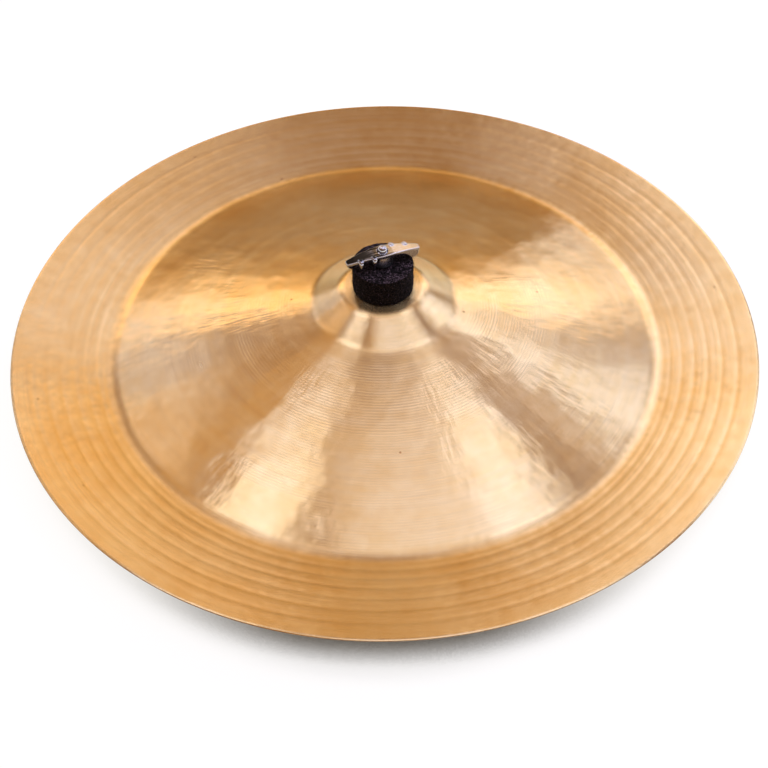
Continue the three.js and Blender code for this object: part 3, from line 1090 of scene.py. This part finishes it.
sleeve = turn("moulded_sleeve", rounded([
    (SLEEVE_BORE, sleeve_low.z),
    (sleeve_high.x, sleeve_low.z),
    (sleeve_high.x, sleeve_low.z + SLEEVE_FLANGE),
    (SLEEVE_BORE + SLEEVE_WALL, sleeve_low.z + SLEEVE_FLANGE),
    (SLEEVE_BORE + SLEEVE_WALL, sleeve_high.z),
    (SLEEVE_BORE, sleeve_high.z),
], MOULDED_CORNER), SMALL_STEPS)

# %% [markdown]
# ### The coupler
# A coupler is cut from hexagon bar: the ends are chamfered on the lathe, which leaves curved
# arrises on the flats, and both ends are drilled and tapped. Here both ends are drilled and the stand's end
# is tapped.

# %% Cut the coupler from hexagon bar
ACROSS_FLATS = 16 * MM
COUPLER_CHAMFER = 1.2 * MM
SOCKET_RADIUS = 3.4 * MM
SOCKET_DEPTH = 14 * MM
SOCKET_CHAMFER = 0.8 * MM
SOCKET_PITCH = 1.25 * MM
SOCKET_ROOT = 4 * MM
ROD_BORE = 3.3 * MM
ROD_BORE_DEPTH = 12 * MM
ROD_BORE_CHAMFER = 0.6 * MM
OVERRUN = 1 * MM

coupler_length = coupler_high.z - coupler_low.z
corner_radius = ACROSS_FLATS / math.sqrt(3)
alone()
bpy.ops.mesh.primitive_cylinder_add(
    vertices=6, radius=corner_radius, depth=coupler_length,
    location=(0, 0, coupler_low.z + coupler_length / 2),
)
coupler = named("hexagon_coupler")
lathe_blank = turn("lathe_blank", [
    (0, coupler_low.z),
    (corner_radius - COUPLER_CHAMFER, coupler_low.z),
    (corner_radius, coupler_low.z + COUPLER_CHAMFER),
    (corner_radius, coupler_high.z - COUPLER_CHAMFER),
    (corner_radius - COUPLER_CHAMFER, coupler_high.z),
    (0, coupler_high.z),
], SMALL_STEPS, closed=False)
cut(coupler, lathe_blank, "INTERSECT")


def drill(name, radius, end, mouth, chamfer):
    """A drill with a countersink, from the end of the hole out through its mouth."""
    way = math.copysign(1, mouth - end)
    outline = [
        (0, end - way * radius / 2),
        (radius, end),
        (radius, mouth - way * chamfer),
        (radius + chamfer + OVERRUN, mouth + way * OVERRUN),
        (0, mouth + way * OVERRUN),
    ]
    return turn(name, outline, SMALL_STEPS // 2, closed=False)


socket_end = coupler_low.z + SOCKET_DEPTH
rod_end = coupler_high.z - ROD_BORE_DEPTH
cut(coupler, drill("socket_drill", SOCKET_RADIUS, socket_end, coupler_low.z, SOCKET_CHAMFER))
cut(coupler, drill("rod_drill", ROD_BORE, rod_end, coupler_high.z, ROD_BORE_CHAMFER))
cut(coupler, thread_cutter(
    "tap", SOCKET_ROOT, SOCKET_RADIUS, SOCKET_PITCH, coupler_low.z - SOCKET_PITCH, socket_end - SOCKET_PITCH,
))
smooth(coupler, 30)
print("Coupler:", triangles(coupler), "triangles")


# %% Zinc and nylon
def moulded_nylon():
    paint = Paint("moulded_nylon")
    grain = paint.noise(0.6 * MM, 2, 0.5)
    cloud = paint.noise(6 * MM, 2, 0.5)
    paint.set(
        base_color=paint.mix(cloud.ramp(0.35, 0.65), colour(0.035, 0.035, 0.04), colour(0.06, 0.06, 0.065)),
        roughness=0.42 + grain * 0.15, normal=paint.bump(grain, 0.03 * MM),
    )
    return paint


zinc = plating("satin_zinc", colour(0.42, 0.42, 0.43), colour(0.64, 0.64, 0.66), 0.28, 5 * MM)
# Painted shade: the captive washer is zinc painted near black, as the shade under the nut.
zinc_painted_as_shade = plating("zinc_painted_as_shade", colour(0.02, 0.02, 0.022), colour(0.07, 0.07, 0.075), 0.35, 3 * MM)
for piece, node, slot, paint, body in (
    (nut_washer, "nut_washer", "zinc_plate", zinc_painted_as_shade, "captive_washer"),
    (cup_washer, "cup_washer", "zinc_plate", zinc, "post"),
    (coupler, "stand_coupler", "zinc_plate", zinc, "post"),
    (sleeve, "rod_sleeve", "nylon", moulded_nylon(), "post"),
):
    dress(piece, paint)
    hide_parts(node)
    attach(piece, body)
    if piece is not coupler:
        smooth(piece, 35)

# %% [markdown]
# ## The studio
# A cymbal has hardly any colour of its own light: it shows what stands round it. Each bright wedge
# is a softbox and each dark wedge is a gap between two. The big ones hang a metre overhead and the
# others stand round the table, so their places were found by asking what each wedge reflects. Each
# is a mixture: cool light makes the pale wedges and warm light the tan ones.

# %% Hang the softboxes
TABLE_DISTANCE = 2
CEILING_HEIGHT = 1
COOL = Vector((0.83, 0.92, 1.30))
WARM = Vector((1.0, 0.61, 0.17))


def softbox(name, place, width, height, cool, warm, spin=0, faces_down=False):
    """A soft lamp of cool and warm light, whose power follows from its area."""
    light = COOL * cool + WARM * warm
    radiance = max(light)
    place = Vector(place)
    rotation = Quaternion((0, 0, 1), math.radians(spin))
    if not faces_down:
        rotation = place.to_track_quat("Z", "Y") @ rotation
    alone()
    bpy.ops.object.light_add(type="AREA", location=place, rotation=rotation.to_euler())
    lamp = bpy.context.object
    lamp.name = name
    lamp.data.shape = "RECTANGLE"
    lamp.data.size = width
    lamp.data.size_y = height
    lamp.data.energy = math.pi * width * height * radiance
    lamp.data.color = light / radiance
    lamp.visible_camera = False
    return lamp


def beside(name, azimuth, elevation, wide, tall, cool, warm, spin=0):
    """A softbox beside the table, with its direction and its size given in degrees."""
    around = math.radians(azimuth)
    up = math.radians(elevation)
    place = [math.cos(up) * math.cos(around), math.cos(up) * math.sin(around), math.sin(up)]
    return softbox(
        name, [TABLE_DISTANCE * value for value in place],
        2 * TABLE_DISTANCE * math.tan(math.radians(wide) / 2),
        2 * TABLE_DISTANCE * math.tan(math.radians(tall) / 2), cool, warm, spin,
    )


def overhead(name, x, y, width, depth, cool, warm, spin=0):
    """A softbox that hangs level over the table."""
    return softbox(name, (x, y, CEILING_HEIGHT), width, depth, cool, warm, spin, faces_down=True)


beside("left_softbox", 137, 29, 25, 16, 0.90, 0.08, 52)
beside("right_softbox", 17, 29.5, 40, 30, 1.25, 0, 9)
beside("right_high_softbox", 15, 39, 18, 15, 0.25, 0.10, -35)
beside("back_strip", 58, 26, 18, 26, 0.90, 0, 1)
beside("back_left_spot", 118, 35, 10, 12, 0.53, 0.70, 9)
beside("back_wall", 90, 35.5, 64, 12, 0.05, 0.96)
overhead("front_ceiling", 0.33, -0.36, 0.99, 0.70, 0.95, 0.10, 13)
overhead("front_left_ceiling", -0.06, -0.53, 0.69, 0.32, 0.05, 0.36, -6)
overhead("right_ceiling", 0.55, -0.17, 0.36, 0.38, 1.50, 0, 5)
overhead("far_right_ceiling", 0.66, 0.34, 0.22, 0.22, 0.50, 0.35)
overhead("right_back_ceiling", 0.62, 0.66, 0.36, 0.22, 1.10, 0)
overhead("centre_right_ceiling", 0.38, 0.17, 0.26, 0.30, 1.85, 0.15, 9)
overhead("centre_ceiling", 0.03, 0.03, 0.52, 0.48, 0.67, 0.28, 10)
overhead("centre_left_ceiling", -0.22, 0.40, 0.18, 0.18, 0.70, 0.25)
overhead("left_warm_ceiling", -0.50, 0.38, 0.28, 0.22, 0.10, 0.60)
overhead("left_ceiling", -0.45, -0.01, 0.35, 0.40, 2.00, 0.30, -19)
overhead("left_back_ceiling", -0.82, 0.50, 0.26, 0.28, 0.60, 0.40)
overhead("far_left_ceiling", -1.0, 0.33, 0.36, 0.80, 0.60, 0.80, 4)
overhead("back_ceiling", 0.36, 0.94, 0.38, 0.38, 1.65, 0.40, 12)
overhead("back_left_ceiling", -0.27, 1.0, 0.30, 0.32, 0.65, 0.60, 7)
overhead("back_gap_right", 0.15, 0.67, 0.16, 0.34, 0.62, 0.50)
overhead("back_gap_left", -0.16, 0.71, 0.14, 0.28, 0.55, 0.50)

# %% [markdown]
# The room is dim and warm, and it fills the gaps. To the camera and in gloss the floor shows pale:
# part of that is its own light, dimmed by a painted shadow where the cymbal closes the floor in,
# deepest towards the front, and the rest is what the lamps give it, so it also keeps a real shadow.

# %% Room and floor
ROOM_LIGHT = colour(0.19, 0.075, 0.020)
LOW_LIGHT = colour(0.05, 0.020, 0.006)
HORIZON_TOP = math.sin(math.radians(3.5))
HORIZON_END = math.sin(math.radians(8))
LOW_END = math.sin(math.radians(26))
FLOOR_SIZE = 8
FLOOR_GLOW = 0.90
FLOOR_PALE = 0.90
FLOOR_SEEN = 0.22
SHADOW_REACH = 0.16
SHADOW_CLOSED = 0.29
SHADOW_OPEN = 0.60
BACK_SHADOW = 0.12
SHADOW_SIDES = (0.04, 0.19)


def any_of(paint, *rays):
    """One where a ray is of any of the kinds, as numbers that are added and cut off at one."""
    total = paint.add("LightPath", out=rays[0])
    for ray in rays[1:]:
        total = total + paint.add("LightPath", out=ray)
    return total.math("MINIMUM", 1)


world = bpy.data.worlds.new("studio")
bpy.context.scene.world = world
room = Paint("room", world, "Background", "Generated")
height = room.axes()[2]
above = room.mix(height.ramp(HORIZON_END, LOW_END), LOW_LIGHT, ROOM_LIGHT)
room.set(color=room.mix(height.ramp(HORIZON_TOP, HORIZON_END), colour(1, 1, 1), above))

alone()
bpy.ops.mesh.primitive_plane_add(size=FLOOR_SIZE, location=(0, 0, -0.1 * MM))
floor = named("floor")
floor_paint = Paint("pale_floor")
openness = floor_paint.open_air(SHADOW_REACH)
shown = any_of(floor_paint, "Is Camera Ray", "Is Glossy Ray", "Is Transmission Ray")
floor_x, floor_y, _ = floor_paint.axes()
# Painted shadow: the floor's own light is dimmed by ambient occlusion, most towards the front.
painted_shadow_front = (floor_y * -1).ramp(0, cymbal_high.y) * (1 - floor_x.math("ABSOLUTE").ramp(*SHADOW_SIDES))
depth = painted_shadow_front * (1 - BACK_SHADOW) + BACK_SHADOW
glow_under_painted_shadow = 1 - (1 - openness.ramp(SHADOW_CLOSED, SHADOW_OPEN)) * depth
floor_paint.set(
    base_color=floor_paint.mix(shown, colour(*[FLOOR_PALE] * 3), colour(*[FLOOR_SEEN] * 3)),
    roughness=0.9, specular_ior_level=0,
    emission_color=colour(1, 1, 1), emission_strength=shown * glow_under_painted_shadow * FLOOR_GLOW,
)
dress(floor, floor_paint)
bpy.context.scene.view_settings.view_transform = "Standard"
